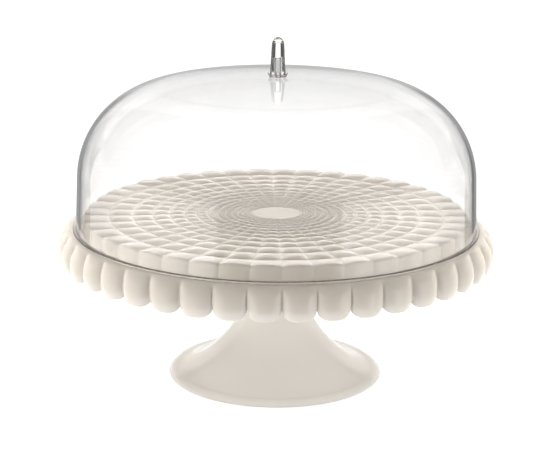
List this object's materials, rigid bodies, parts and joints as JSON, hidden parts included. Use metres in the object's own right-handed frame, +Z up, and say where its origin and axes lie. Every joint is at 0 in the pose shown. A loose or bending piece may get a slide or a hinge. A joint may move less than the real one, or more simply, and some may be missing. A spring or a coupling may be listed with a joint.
{
  "type": "cake stand with dome",
  "caption": "Round cream cake stand: scalloped plate with rings of moulded pillows on a trumpet foot, under a clear bell dome with a small lift knob.",
  "frame": {"origin": "on the surface it stands on, at the centre of the foot", "axes": "+Z up along the axis that the foot, plate, dome and knob share"},
  "size_m": [0.3598, 0.3596, 0.283],
  "materials": {
    "cream_plastic": "polished moulded plastic",
    "clear_acrylic": "clear polished acrylic",
    "soft_washer": "matt translucent elastomer"
  },
  "bodies": {
    "pedestal": {"pedestal": "cream_plastic"},
    "washer": {"seat_washer": "soft_washer"},
    "plate": {"plate": "cream_plastic"},
    "lid": {"dome_shell": "clear_acrylic", "knob_pin": "clear_acrylic", "knob": "clear_acrylic"}
  },
  "joints": [
    {"name": "plate_rise", "type": "slide", "parent": "pedestal", "child": "washer", "axis": [0, 0, 1], "range_m": [0, 0.012]},
    {"name": "plate_unscrew", "type": "hinge", "parent": "washer", "child": "plate", "pos_m": [0, 0, 0.12], "axis": [0, 0, 1], "range_deg": [0, 180]},
    {"name": "dome_lift", "type": "slide", "parent": "plate", "child": "lid", "axis": [0, 0, 1], "range_m": [0, 0.2]}
  ],
  "couplings": [
    {"joint": "plate_rise", "follows": "plate_unscrew", "m_per_rad": 0.0038197}
  ]
}
